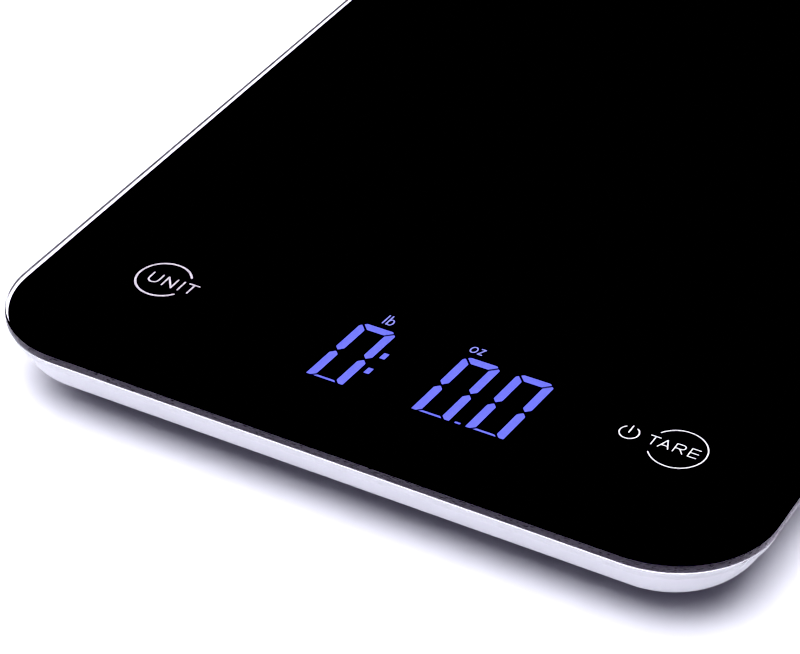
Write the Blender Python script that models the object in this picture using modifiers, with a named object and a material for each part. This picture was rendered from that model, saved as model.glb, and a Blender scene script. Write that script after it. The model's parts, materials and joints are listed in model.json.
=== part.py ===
"""Digital gram scale: a glass-topped electronic scale with a backlit readout and touch keys.

Frame: +X right, +Y back (the readout is at the front, -Y), +Z up, metres. The origin is
on the surface that the scale stands on, below the centre of the glass. Sizes below are
in millimetres and every builder function takes millimetres.
"""

import math

import bmesh
import bpy
from mathutils import Vector

MM = 0.001

# ---------------------------------------------------------------- driving dimensions (mm)
WIDTH = 175.0
DEPTH = 231.0
HEIGHT = 18.0
CORNER_R = 22.5
CORNER_STEPS = 9  # straight pieces in each rounded corner
GAP = 0.3  # left between pieces that touch in the real scale

# heights of the layers, from the top down
GLASS_T = 2.2
GLASS_BOTTOM = HEIGHT - GLASS_T
FILM_TOP = GLASS_BOTTOM - GAP
FILM_BOTTOM = FILM_TOP - 0.2
TAPE_TOP = FILM_BOTTOM - GAP
TAPE_BOTTOM = TAPE_TOP - 1.0
LEDGE_Z = TAPE_BOTTOM - GAP
RIM_Z = GLASS_BOTTOM - GAP
TRAY_FLOOR = 6.0  # inside of the tray
TRAY_UNDER = 4.2  # its flat underside

# the tray's rim and slanted side, as insets from the glass outline
RIM_W = 0.95
LEDGE_W = 7.0
SIDE_RUN = 3.5  # how far the side slants in ...
SIDE_END = 9.2  # ... down to this height
UNDER_INSET = 12.0  # where the flat underside starts
TURN_STEPS = 4
INNER_KNEE = (7.2, 8.3)  # where the inner wall turns to the floor
FLOOR_INSET = 10.5  # where the flat floor starts

# feet and load cells, concentric with the rounded corners
FOOT_X = WIDTH / 2 - CORNER_R
FOOT_Y = DEPTH / 2 - CORNER_R
FOOT_R = 9.0
FOOT_HOLE_R = 9.6
FOOT_FLANGE_R = 11.0
FOOT_BUTTON_TOP = 8.5
CELL_BOTTOM = 8.95
CELL_T = 1.2
CELL_IN, CELL_OUT, CELL_HALF_W = 18.0, 8.0, 8.5
CELL_SCREW_U, CELL_SCREW_V = 14.8, 5.0

# circuit board
PCB_BOTTOM, PCB_TOP = 8.2, 9.4
PCB_FRONT, PCB_BACK = -100.0, -54.0
PCB_HALF_W, WING_HALF_W = 39.5, 67.0
WING_FRONT, WING_BACK = -84.0, -67.0
PCB_SCREWS = ((-34.0, -57.5), (34.0, -57.5), (-63.5, -70.5), (63.5, -70.5))

# readout
LCD_Y = -80.5
LCD_SIZE = (72.0, 34.0)
LCD_TOP, LCD_BOTTOM = 15.0, 13.0
WINDOW = (66.0, 28.0)
WINDOW_Y = -79.6
LIGHT_SIZE = (68.0, 28.0)
LIGHT_Y = -78.2
LIGHT_TOP, LIGHT_BOTTOM = 12.7, 10.7
FRAME_WALL = 1.6
ZEBRA_Y = -95.7
ZEBRA_SIZE = (64.0, 1.8)

# touch keys
KEY_X, KEY_Y = 60.4, -79.7
KEY_SPRING_R = 3.4
KEY_SPRING_TURNS = 3
KEY_WIRE_R = 0.35

# coin cell bay in the tray
COIN_Y = 8.5
COIN_R, COIN_BOTTOM, COIN_TOP = 10.0, 6.1, 9.3
POCKET_R, POCKET_TOP = 10.5, 10.5
BAY_HALF_W, BAY_FRONT, BAY_BACK, BAY_TOP = 14.5, -9.0, 20.5, 11.8
CONTACT_Z = BAY_TOP + GAP + 0.2
CONTACT_T = 0.4
TAIL = 18.6  # how far the negative contact runs forward of the coin cell's centre

# battery door, turning about the edge of its opening
DOOR_AXIS_Y, DOOR_AXIS_Z = 26.4, 4.6
DOOR_FRONT, DOOR_BACK = -5.6, 26.0
DOOR_HALF_W = 12.7
DOOR_TOP = 5.7
OPENING_FRONT, OPENING_BACK, OPENING_HALF_W = -6.0, 27.3, 13.1
HOOK_X, HOOK_W = 8.0, 4.0

# screws
SCREW_R, SCREW_HEAD_R, SCREW_HEAD_T = 1.0, 2.1, 1.4
SCREW_HOLE_R = 1.35
SCREW_END = 6.7
BOSS_R = 2.7
PILOT_BOTTOM = 6.35

# leads
CELL_LEAD_R = 0.8
BATTERY_LEAD_R = 0.6

CORNERS = {
    "front_left": (-1, -1),
    "front_right": (1, -1),
    "rear_left": (-1, 1),
    "rear_right": (1, 1),
}

# ---------------------------------------------------------------- scene and collections
for old in list(bpy.data.objects):
    bpy.data.objects.remove(old, do_unlink=True)

parts = bpy.data.collections.new("digital_gram_scale")
cutters = bpy.data.collections.new("cutters")
bpy.context.scene.collection.children.link(parts)
bpy.context.scene.collection.children.link(cutters)


# ---------------------------------------------------------------- materials
def material(name, colour, roughness, metallic=0.0):
    made = bpy.data.materials.new(name)
    made.use_nodes = True
    shader = made.node_tree.nodes["Principled BSDF"]
    shader.inputs["Base Color"].default_value = (*colour, 1.0)
    shader.inputs["Roughness"].default_value = roughness
    shader.inputs["Metallic"].default_value = metallic
    return made


BLACK_GLASS = material("black_glass", (0.004, 0.004, 0.005), 0.03)
BLACK_PRINT = material("black_print", (0.006, 0.006, 0.007), 0.45)
WHITE_SHELL = material("white_shell", (0.80, 0.80, 0.84), 0.38)
CLEAR_TAPE = material("tape", (0.10, 0.10, 0.11), 0.8)
GREEN_BOARD = material("circuit_board", (0.02, 0.16, 0.07), 0.4)
BLACK_EPOXY = material("epoxy", (0.012, 0.012, 0.014), 0.35)
LCD_BLUE = material("readout", (0.10, 0.12, 0.45), 0.15)
LIGHT_WHITE = material("light_guide", (0.72, 0.78, 1.0), 0.3)
RUBBER_STRIP = material("elastomer", (0.35, 0.35, 0.37), 0.7)
STEEL = material("steel", (0.56, 0.57, 0.58), 0.32, 1.0)
BRIGHT_STEEL = material("bright_steel", (0.72, 0.72, 0.70), 0.2, 1.0)
SILICONE = material("silicone", (0.82, 0.82, 0.80), 0.5)
GREY_RUBBER = material("foot_rubber", (0.10, 0.10, 0.105), 0.85)
CUP_PLASTIC = material("foot_plastic", (0.66, 0.66, 0.69), 0.5)
LEAD_WHITE = material("lead_white", (0.80, 0.80, 0.78), 0.55)
LEAD_RED = material("lead_red", (0.55, 0.03, 0.03), 0.5)
LEAD_BLACK = material("lead_black", (0.02, 0.02, 0.02), 0.5)
LABEL_SILVER = material("label", (0.62, 0.62, 0.64), 0.42)


# ---------------------------------------------------------------- shape helpers (mm)
def at(*values):
    """A point given in millimetres, as a vector in metres."""
    return Vector(values) * MM


def place(obj, surface=None, collection=parts):
    """Links the object, gives it its material and, for a helper, hides it from the render."""
    collection.objects.link(obj)
    if surface:
        obj.data.materials.append(surface)
    if collection is cutters:
        obj.hide_render = True
        obj.display_type = "WIRE"
    return obj


def mesh_object(name, shape, surface=None, collection=parts, smooth_angle=None):
    mesh = bpy.data.meshes.new(name)
    bmesh.ops.recalc_face_normals(shape, faces=shape.faces[:])
    shape.to_mesh(mesh)
    shape.free()
    if smooth_angle:
        mesh.shade_smooth()
        mesh.set_sharp_from_angle(angle=math.radians(smooth_angle))
    return place(bpy.data.objects.new(name, mesh), surface, collection)


def box(name, low, high, surface=None, collection=parts):
    """A box between two corners, its origin at its centre."""
    low, high = at(*low), at(*high)
    shape = bmesh.new()
    bmesh.ops.create_cube(shape, size=1.0)
    bmesh.ops.scale(shape, vec=high - low, verts=shape.verts[:])
    made = mesh_object(name, shape, surface, collection)
    made.location = (low + high) / 2
    return made


def cylinder(name, centre, radius, bottom, top, surface=None, collection=parts, sides=32):
    """An upright cylinder, its origin on its axis at half its height."""
    shape = bmesh.new()
    bmesh.ops.create_cone(
        shape,
        cap_ends=True,
        segments=sides,
        radius1=radius * MM,
        radius2=radius * MM,
        depth=(top - bottom) * MM,
    )
    made = mesh_object(name, shape, surface, collection, smooth_angle=40)
    made.location = at(*centre, (bottom + top) / 2)
    return made


def soften(obj, width, segments=2):
    """Rounded edges of the given width."""
    bevel = obj.modifiers.new("rounded edges", "BEVEL")
    bevel.width = width * MM
    bevel.segments = segments
    bevel.limit_method = "ANGLE"
    return obj


def boolean(obj, other, operation):
    change = obj.modifiers.new(f"{operation.lower()} {other.name}", "BOOLEAN")
    change.operation = operation
    change.object = other
    change.solver = "EXACT"


def cut(obj, cutter):
    boolean(obj, cutter, "DIFFERENCE")


def join(obj, addition):
    boolean(obj, addition, "UNION")


def turned(name, centre, profile, surface, sides=24):
    """A turned piece: the profile (radius, height) runs from the axis at the top, down the
    outside and back to the axis at the bottom."""
    shape = bmesh.new()
    points = [shape.verts.new(at(radius, 0, height)) for radius, height in profile]
    for first, second in zip(points, points[1:]):
        shape.edges.new((first, second))
    mesh = bpy.data.meshes.new(name)
    shape.to_mesh(mesh)
    shape.free()
    made = place(bpy.data.objects.new(name, mesh), surface)
    made.location = at(*centre, 0)
    screw = made.modifiers.new("turn", "SCREW")
    screw.steps = screw.render_steps = sides
    screw.use_merge_vertices = True
    screw.merge_threshold = 0.00001
    screw.use_smooth_shade = False
    return made


def outline_plate(name, outlines, bottom, top, surface=None, centre=(0, 0)):
    """A flat plate: the first outline is its edge, the others are its holes."""
    curve = bpy.data.curves.new(name, "CURVE")
    curve.dimensions = "2D"
    curve.fill_mode = "BOTH"
    curve.extrude = (top - bottom) / 2 * MM
    for outline in outlines:
        spline = curve.splines.new("POLY")
        spline.points.add(len(outline) - 1)
        for point, (x, y) in zip(spline.points, outline):
            point.co = (x * MM, y * MM, 0, 1)
        spline.use_cyclic_u = True
    made = place(bpy.data.objects.new(name, curve), surface)
    made.location = at(*centre, (bottom + top) / 2)
    return made


def rectangle(half_x, half_y, centre=(0, 0)):
    x, y = centre
    return [
        (x - half_x, y - half_y),
        (x + half_x, y - half_y),
        (x + half_x, y + half_y),
        (x - half_x, y + half_y),
    ]


def circle(centre, radius, sides=14):
    turns = [2 * math.pi * step / sides for step in range(sides)]
    return [(centre[0] + radius * math.cos(a), centre[1] + radius * math.sin(a)) for a in turns]


def rounded_outline(inset, steps=CORNER_STEPS):
    """The glass outline, moved in by the inset: its corners keep their centres."""
    points = []
    for corner, (side_x, side_y) in enumerate(((1, 1), (-1, 1), (-1, -1), (1, -1))):
        for step in range(steps + 1):
            angle = math.pi / 2 * (corner + step / steps)
            x = side_x * FOOT_X + (CORNER_R - inset) * math.cos(angle)
            y = side_y * FOOT_Y + (CORNER_R - inset) * math.sin(angle)
            points.append((x, y))
    return points


def rounded_loft(name, sections, surface):
    """A closed body whose sections are the glass outline at each (inset, height)."""
    shape = bmesh.new()
    inset, height = sections[0]
    ring = [shape.verts.new(at(x, y, height)) for x, y in rounded_outline(inset)]
    top = shape.faces.new(ring)
    for inset, height in sections[1:]:
        grown = bmesh.ops.extrude_discrete_faces(shape, faces=[top])
        top = grown["faces"][0]
        for vert, (x, y) in zip(top.verts, rounded_outline(inset)):
            vert.co = at(x, y, height)
    first = shape.faces.new([vert for vert in reversed(ring)])
    first.normal_update()
    return mesh_object(name, shape, surface, smooth_angle=30)


def tube(name, points, radius, surface):
    """A round wire along the points, with filled ends."""
    curve = bpy.data.curves.new(name, "CURVE")
    curve.dimensions = "3D"
    curve.bevel_depth = radius * MM
    curve.bevel_resolution = 2
    curve.use_fill_caps = True
    spline = curve.splines.new("POLY")
    spline.points.add(len(points) - 1)
    for point, place_mm in zip(spline.points, points):
        point.co = (*at(*place_mm), 1)
    return place(bpy.data.objects.new(name, curve), surface)


def smooth_route(stops, steps=5):
    """Points along a smooth curve (Catmull-Rom) through the stops."""
    stops = [Vector(stop) for stop in stops]
    ends = [2 * stops[0] - stops[1], *stops, 2 * stops[-1] - stops[-2]]
    points = []
    for a, b, c, d in zip(ends, ends[1:], ends[2:], ends[3:]):
        for step in range(steps):
            t = step / steps
            points.append(
                0.5
                * (
                    2 * b
                    + (c - a) * t
                    + (2 * a - 5 * b + 4 * c - d) * t**2
                    + (3 * b - a - 3 * c + d) * t**3
                )
            )
    return [*points, stops[-1]]


def bent_strip(name, path, along, half_width, thickness, surface, centre):
    """A sheet-metal strip bent along a path (distance, height); along is "X" or "Y"."""
    points = [Vector(point) for point in path]
    upper, lower = [], []
    for index, point in enumerate(points):
        before = points[max(index - 1, 0)]
        after = points[min(index + 1, len(points) - 1)]
        run = (after - before).normalized()
        side = Vector((-run.y, run.x)) * thickness / 2
        upper.append(tuple(point + side))
        lower.append(tuple(point - side))
    strip = outline_plate(name, [upper + lower[::-1]], -half_width, half_width, surface)
    turn = math.pi / 2 if along == "Y" else 0
    strip.rotation_euler = (math.pi / 2, 0, turn)
    strip.location = at(*centre)
    return strip


def pivot(name, location):
    """An empty on a joint's axis: the moving pieces hang from it."""
    made = bpy.data.objects.new(name, None)
    made.empty_display_size = 10 * MM
    made.location = location
    parts.objects.link(made)
    return made


def hang(obj, parent):
    """Parents the object to the pivot and leaves it where it is."""
    obj.location = obj.location - parent.location
    obj.parent = parent


# ---------------------------------------------------------------- glass platform and film
def make_glass():
    edge = 0.4
    bottom, top = GLASS_BOTTOM, HEIGHT
    sections = [
        (edge, bottom),
        (edge * 0.3, bottom + edge * 0.3),
        (0, bottom + edge),
        (0, top - edge),
        (edge * 0.3, top - edge * 0.3),
        (edge, top),
    ]
    rounded_loft("glass_platform", sections, BLACK_GLASS)


def make_film_and_tape():
    window = rectangle(WINDOW[0] / 2, WINDOW[1] / 2, (0, WINDOW_Y))
    film_edge = rounded_outline(RIM_W + GAP)
    outline_plate("printed_film", [film_edge, window], FILM_BOTTOM, FILM_TOP, BLACK_PRINT)
    tape = [rounded_outline(RIM_W + 0.5), rounded_outline(LEDGE_W - 0.6)]
    outline_plate("glass_tape", tape, TAPE_BOTTOM, TAPE_TOP, CLEAR_TAPE)


# ---------------------------------------------------------------- body shell
def bosses():
    """(x, y, top) of every screw boss that stands on the tray's floor."""
    for side_x, side_y in CORNERS.values():
        for v in (-CELL_SCREW_V, CELL_SCREW_V):
            yield side_x * (FOOT_X - CELL_SCREW_U), side_y * FOOT_Y + v, CELL_BOTTOM - GAP
    for x, y in PCB_SCREWS:
        yield x, y, PCB_BOTTOM - GAP


def add_bay(shell):
    """The block that holds the coin cell, its door opening and its contact slots."""
    block = box(
        "bay_block",
        (-BAY_HALF_W, BAY_FRONT, TRAY_FLOOR - 0.5),
        (BAY_HALF_W, BAY_BACK, BAY_TOP),
        collection=cutters,
    )
    join(shell, block)
    opening = box(
        "door_opening",
        (-OPENING_HALF_W, OPENING_FRONT, TRAY_UNDER - 1),
        (OPENING_HALF_W, OPENING_BACK, TRAY_FLOOR),
        collection=cutters,
    )
    pocket = cylinder(
        "coin_pocket", (0, COIN_Y), POCKET_R, TRAY_FLOOR - 0.5, POCKET_TOP, collection=cutters
    )
    latch_room = box(
        "latch_room", (-5, OPENING_FRONT, 5), (5, OPENING_FRONT + 2.7, 8), collection=cutters
    )
    negative_slot = box(
        "negative_slot", (-2.6, COIN_Y - 5.5, 10), (2.6, COIN_Y + 4.5, 13), collection=cutters
    )
    positive_slot = box(
        "positive_slot", (9.5, COIN_Y - 3, TRAY_FLOOR), (11.1, COIN_Y + 3, 13), collection=cutters
    )
    for cutter in (opening, pocket, latch_room, negative_slot, positive_slot):
        cut(shell, cutter)


def side_turn():
    """(inset, height) along the rounded turn from the underside up to the slanted side."""
    slope = SIDE_RUN / (RIM_Z - SIDE_END)
    meeting = SIDE_RUN + slope * (SIDE_END - TRAY_UNDER)  # of the side's line and the underside
    points = []
    for step in range(TURN_STEPS + 1):
        t = step / TURN_STEPS
        inset = (1 - t) ** 2 * UNDER_INSET + 2 * t * (1 - t) * meeting + t**2 * SIDE_RUN
        points.append((inset, TRAY_UNDER + t**2 * (SIDE_END - TRAY_UNDER)))
    return points


def make_shell():
    sections = [
        *side_turn(),
        (0, RIM_Z),
        (RIM_W, RIM_Z),
        (RIM_W, LEDGE_Z),
        (LEDGE_W, LEDGE_Z),
        (LEDGE_W, LEDGE_Z - 1.5),
        (4.6, LEDGE_Z - 2.4),
        INNER_KNEE,
        (FLOOR_INSET, TRAY_FLOOR),
    ]
    shell = rounded_loft("body_shell", sections, WHITE_SHELL)
    for index, (x, y, top) in enumerate(bosses()):
        boss = cylinder(
            f"boss_{index}", (x, y), BOSS_R, TRAY_FLOOR - 0.6, top, collection=cutters, sides=14
        )
        join(shell, boss)
    add_bay(shell)
    for index, (x, y, top) in enumerate(bosses()):
        hole = cylinder(
            f"pilot_{index}", (x, y), SCREW_HOLE_R, PILOT_BOTTOM, top + 1, None, cutters, 10
        )
        cut(shell, hole)
    for name, (side_x, side_y) in CORNERS.items():
        centre = (side_x * FOOT_X, side_y * FOOT_Y)
        hole = cylinder(
            f"foot_hole_{name}", centre, FOOT_HOLE_R, TRAY_UNDER - 1, TRAY_FLOOR + 1,
            collection=cutters,
        )
        cut(shell, hole)
    recess = box("label_recess", (-30.4, 44.6, 3.5), (30.4, 75.4, 4.8), collection=cutters)
    cut(shell, recess)


def make_label():
    box("rating_label", (-30, 45, TRAY_UNDER + 0.02), (30, 75, 4.5), LABEL_SILVER)


# ---------------------------------------------------------------- circuit board and readout
def make_board():
    edge = [
        (-PCB_HALF_W, PCB_FRONT),
        (PCB_HALF_W, PCB_FRONT),
        (PCB_HALF_W, WING_FRONT),
        (WING_HALF_W, WING_FRONT),
        (WING_HALF_W, WING_BACK),
        (PCB_HALF_W, WING_BACK),
        (PCB_HALF_W, PCB_BACK),
        (-PCB_HALF_W, PCB_BACK),
        (-PCB_HALF_W, WING_BACK),
        (-WING_HALF_W, WING_BACK),
        (-WING_HALF_W, WING_FRONT),
        (-PCB_HALF_W, WING_FRONT),
    ]
    holes = [circle(centre, SCREW_HOLE_R) for centre in PCB_SCREWS]
    outline_plate("main_pcb", [edge, *holes], PCB_BOTTOM, PCB_TOP, GREEN_BOARD)
    base = PCB_TOP + GAP
    chip_profile = [(0, base + 1.5), (1.8, base + 1.35), (3.2, base + 0.9), (4.0, base), (0, base)]
    turned("controller_chip", (47, -75), chip_profile, BLACK_EPOXY, sides=18)
    crystal = box("crystal", (-50.5, -76, base), (-43.5, -74, base + 1.8), BRIGHT_STEEL)
    soften(crystal, 0.5)


def make_readout():
    def slab(name, size, y, bottom, top, surface):
        half_x, half_y = size[0] / 2, size[1] / 2
        return box(name, (-half_x, y - half_y, bottom), (half_x, y + half_y, top), surface)

    slab("lcd_glass", LCD_SIZE, LCD_Y, LCD_BOTTOM, LCD_TOP, LCD_BLUE)
    slab("backlight_panel", LIGHT_SIZE, LIGHT_Y, LIGHT_BOTTOM, LIGHT_TOP, LIGHT_WHITE)
    slab("zebra_strip", ZEBRA_SIZE, ZEBRA_Y, PCB_TOP + GAP, LCD_BOTTOM - GAP, RUBBER_STRIP)
    inner = (LCD_SIZE[0] / 2 + GAP, LCD_SIZE[1] / 2 + GAP)
    outer = (inner[0] + FRAME_WALL, inner[1] + FRAME_WALL)
    centre = (0, LCD_Y)
    walls = [rectangle(*outer, centre), rectangle(*inner, centre)]
    outline_plate("lcd_frame", walls, PCB_TOP + GAP, LCD_TOP - 0.6, WHITE_SHELL)


def make_touch_springs():
    bottom = PCB_TOP + GAP + KEY_WIRE_R
    top = FILM_BOTTOM - GAP - KEY_WIRE_R
    steps = 12
    for name, side in (("unit", -1), ("tare", 1)):
        points = []
        for step in range(KEY_SPRING_TURNS * steps + 1):
            angle = 2 * math.pi * step / steps
            share = step / (KEY_SPRING_TURNS * steps)
            radius = KEY_SPRING_R * (1 - 0.35 * share)
            x = side * KEY_X + radius * math.cos(angle)
            y = KEY_Y + radius * math.sin(angle)
            points.append((x, y, bottom + (top - bottom) * share))
        tube(f"touch_spring_{name}", points, KEY_WIRE_R, BRIGHT_STEEL)


# ---------------------------------------------------------------- battery
def make_battery():
    edge = 0.35
    profile = [
        (0, COIN_TOP),
        (COIN_R - 1.6, COIN_TOP),
        (COIN_R - 1.4, COIN_TOP - 0.25),
        (COIN_R - edge, COIN_TOP - 0.25),
        (COIN_R, COIN_TOP - 0.25 - edge),
        (COIN_R, COIN_BOTTOM + edge),
        (COIN_R - edge, COIN_BOTTOM),
        (0, COIN_BOTTOM),
    ]
    turned("coin_cell", (0, COIN_Y), profile, BRIGHT_STEEL)
    negative = [
        (-TAIL, CONTACT_Z),
        (-4.6, CONTACT_Z),
        (-2.0, 10.2),
        (-0.6, COIN_TOP + GAP + 0.2),
        (0.6, COIN_TOP + GAP + 0.2),
        (2.6, 10.3),
    ]
    bent_strip(
        "battery_contact_negative", negative, "Y", 2.0, CONTACT_T, BRIGHT_STEEL, (0, COIN_Y, 0)
    )
    leg_x = COIN_R + GAP + CONTACT_T / 2
    positive = [(leg_x, 6.6), (leg_x, CONTACT_Z - 0.6), (leg_x + 0.6, CONTACT_Z), (14.2, CONTACT_Z)]
    bent_strip(
        "battery_contact_positive", positive, "X", 2.5, CONTACT_T, BRIGHT_STEEL, (0, COIN_Y, 0)
    )


def make_battery_door():
    hinge = pivot("battery_door_axis", at(0, DOOR_AXIS_Y, DOOR_AXIS_Z))
    low = (-DOOR_HALF_W, DOOR_FRONT, TRAY_UNDER)
    high = (DOOR_HALF_W, DOOR_BACK, DOOR_TOP)
    door = box("battery_door", low, high, WHITE_SHELL)
    for side in (-1, 1):
        near, far = side * HOOK_X - HOOK_W / 2, side * HOOK_X + HOOK_W / 2
        riser = box(f"riser_{side}", (near, 23.0, 5.4), (far, 25.0, 7.3), collection=cutters)
        hook = box(f"hook_{side}", (near, 24.0, 6.3), (far, 28.8, 7.3), collection=cutters)
        join(riser, hook)
        join(door, riser)
    latch = box("latch", (-4, DOOR_FRONT + 0.6, 5.4), (4, DOOR_FRONT + 1.8, 7.2), collection=cutters)
    bead = box("bead", (-4, DOOR_FRONT, 6.4), (4, DOOR_FRONT + 1.2, 7.0), collection=cutters)
    join(latch, bead)
    join(door, latch)
    for side in (-1, 1):  # the slots that let the latch flex
        near, far = sorted((side * 4.6, side * 5.6))
        slot = box(
            f"flex_slot_{side}", (near, DOOR_FRONT - 1, 3.5), (far, DOOR_FRONT + 6.5, 7),
            collection=cutters,
        )
        cut(door, slot)
    nail_groove = box(
        "nail_groove", (-3.4, DOOR_FRONT + 2.6, 3.5), (3.4, DOOR_FRONT + 4.4, 4.8),
        collection=cutters,
    )
    cut(door, nail_groove)
    hang(door, hinge)


# ---------------------------------------------------------------- load cells and feet
def make_load_cell(name, side_x, side_y):
    """The stamped cell: a frame with a tongue in it. u runs from the foot to the middle."""

    def spot(u, v):
        return (-side_x * u, v)

    edge = [(-CELL_OUT, -CELL_HALF_W), (CELL_IN, -CELL_HALF_W)]
    edge += [(u, -v) for u, v in reversed(edge)]
    tongue, slot, tip = 3.4, 4.8, -4.2
    slit = [
        (10.0, slot),
        (tip - 1.4, slot),
        (tip - 1.4, -slot),
        (10.0, -slot),
        (10.0, -tongue),
        (tip, -tongue),
        (tip, tongue),
        (10.0, tongue),
    ]
    screws = [circle((CELL_SCREW_U, v), SCREW_HOLE_R, 12) for v in (-CELL_SCREW_V, CELL_SCREW_V)]
    outlines = [[spot(u, v) for u, v in outline] for outline in (edge, slit, *screws)]
    centre = (side_x * FOOT_X, side_y * FOOT_Y)
    top = CELL_BOTTOM + CELL_T
    outline_plate(f"load_cell_{name}", outlines, CELL_BOTTOM, top, STEEL, centre)
    ends = sorted((centre[0] - side_x * 4.5, centre[0] - side_x * 10.5))
    gauge = box(
        f"strain_gauge_{name}",
        (ends[0], centre[1] - 2.6, top + GAP),
        (ends[1], centre[1] + 2.6, top + GAP + 0.9),
        SILICONE,
    )
    soften(gauge, 0.4)


def make_foot(name, side_x, side_y):
    """The plunger that presses on the load cell, and the rubber pad under it."""
    centre = (side_x * FOOT_X, side_y * FOOT_Y)
    slide = pivot(f"foot_axis_{name}", at(*centre, 0))
    cup_profile = [
        (0, FOOT_BUTTON_TOP),
        (1.6, FOOT_BUTTON_TOP - 0.2),
        (2.8, FOOT_BUTTON_TOP - 0.9),
        (3.0, 7.3),
        (FOOT_FLANGE_R, 7.3),
        (FOOT_FLANGE_R, TRAY_FLOOR + GAP),
        (FOOT_R, TRAY_FLOOR + GAP),
        (FOOT_R, 1.4),
        (FOOT_R - 0.5, 0.9),
        (FOOT_R - 1.2, 0.9),
        (FOOT_R - 1.2, 2.0),
        (0, 2.0),
    ]
    cup = turned(f"foot_cup_{name}", centre, cup_profile, CUP_PLASTIC, sides=24)
    pad_r = FOOT_R - 1.5
    pad_profile = [(0, 1.7), (pad_r, 1.7), (pad_r, 0.4), (pad_r - 0.4, 0), (0, 0)]
    pad = turned(f"foot_pad_{name}", centre, pad_profile, GREY_RUBBER, sides=24)
    hang(cup, slide)
    hang(pad, slide)


# ---------------------------------------------------------------- screws
def make_screw(name, x, y, seat):
    """A pan-head screw whose head rests just above the seat."""
    head = seat + GAP
    profile = [
        (0, head + SCREW_HEAD_T),
        (SCREW_HEAD_R * 0.6, head + SCREW_HEAD_T),
        (SCREW_HEAD_R, head + SCREW_HEAD_T * 0.5),
        (SCREW_HEAD_R, head),
        (SCREW_R, head),
        (SCREW_R, SCREW_END),
        (0, SCREW_END),
    ]
    turned(name, (x, y), profile, BRIGHT_STEEL, sides=12)


def make_screws():
    for name, (side_x, side_y) in CORNERS.items():
        for letter, v in (("a", -CELL_SCREW_V), ("b", CELL_SCREW_V)):
            x = side_x * (FOOT_X - CELL_SCREW_U)
            y = side_y * FOOT_Y + v
            make_screw(f"cell_screw_{name}_{letter}", x, y, CELL_BOTTOM + CELL_T)
    for index, (x, y) in enumerate(PCB_SCREWS, start=1):
        make_screw(f"pcb_screw_{index}", x, y, PCB_TOP)


# ---------------------------------------------------------------- leads
def make_leads():
    cell_z = CELL_BOTTOM + CELL_T / 2
    board_z = (PCB_BOTTOM + PCB_TOP) / 2
    floor_z = TRAY_FLOOR + GAP + CELL_LEAD_R
    cell_x = FOOT_X - CELL_IN - GAP
    for side, hand in ((-1, "left"), (1, "right")):
        front = [
            (side * cell_x, -FOOT_Y, cell_z),
            (side * (cell_x - 3), -FOOT_Y, cell_z - 0.2),
            (side * (PCB_HALF_W + GAP), -FOOT_Y, board_z),
        ]
        tube(f"cell_lead_front_{hand}", smooth_route(front, 3), CELL_LEAD_R, LEAD_WHITE)
        rear = [
            (side * cell_x, FOOT_Y, cell_z),
            (side * (cell_x - 3), FOOT_Y - 0.5, cell_z - 0.6),
            (side * 41, FOOT_Y - 9, floor_z),
            (side * 37, 60, floor_z),
            (side * 33, 20, floor_z),
            (side * 30, -20, floor_z),
            (side * 27, -45, floor_z),
            (side * 26.5, PCB_BACK + 2.5, board_z),
            (side * 26.5, PCB_BACK + GAP, board_z),
        ]
        tube(f"cell_lead_rear_{hand}", smooth_route(rear, 3), CELL_LEAD_R, LEAD_WHITE)
    tail_y = COIN_Y - TAIL - GAP
    negative = [
        (0, tail_y, CONTACT_Z),
        (0, tail_y - 5, CONTACT_Z - 0.6),
        (-2, -28, 8.6),
        (-4, -42, floor_z),
        (-4, PCB_BACK + 2.5, board_z),
        (-4, PCB_BACK + GAP, board_z),
    ]
    tube("battery_lead_negative", smooth_route(negative, 3), BATTERY_LEAD_R, LEAD_BLACK)
    positive = [
        (14.2 + GAP, COIN_Y, CONTACT_Z),
        (17.5, COIN_Y - 2, CONTACT_Z - 0.8),
        (19, -8, 9.4),
        (14, -28, floor_z),
        (8, -42, floor_z),
        (6, PCB_BACK + 2.5, board_z),
        (6, PCB_BACK + GAP, board_z),
    ]
    tube("battery_lead_positive", smooth_route(positive, 3), BATTERY_LEAD_R, LEAD_RED)


# ---------------------------------------------------------------- the whole scale
make_glass()
make_film_and_tape()
make_shell()
make_label()
make_board()
make_readout()
make_touch_springs()
make_battery()
make_battery_door()
for corner_name, (corner_x, corner_y) in CORNERS.items():
    make_load_cell(corner_name, corner_x, corner_y)
    make_foot(corner_name, corner_x, corner_y)
make_screws()
make_leads()
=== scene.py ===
"""Digital gram scale: the finished surfaces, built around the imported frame.

Lengths below are in millimetres in the frame's own axes (+X right, +Y back, +Z up, origin on
the surface that the scale stands on) and are turned into metres where points are made.
"""

import json
import math

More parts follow.
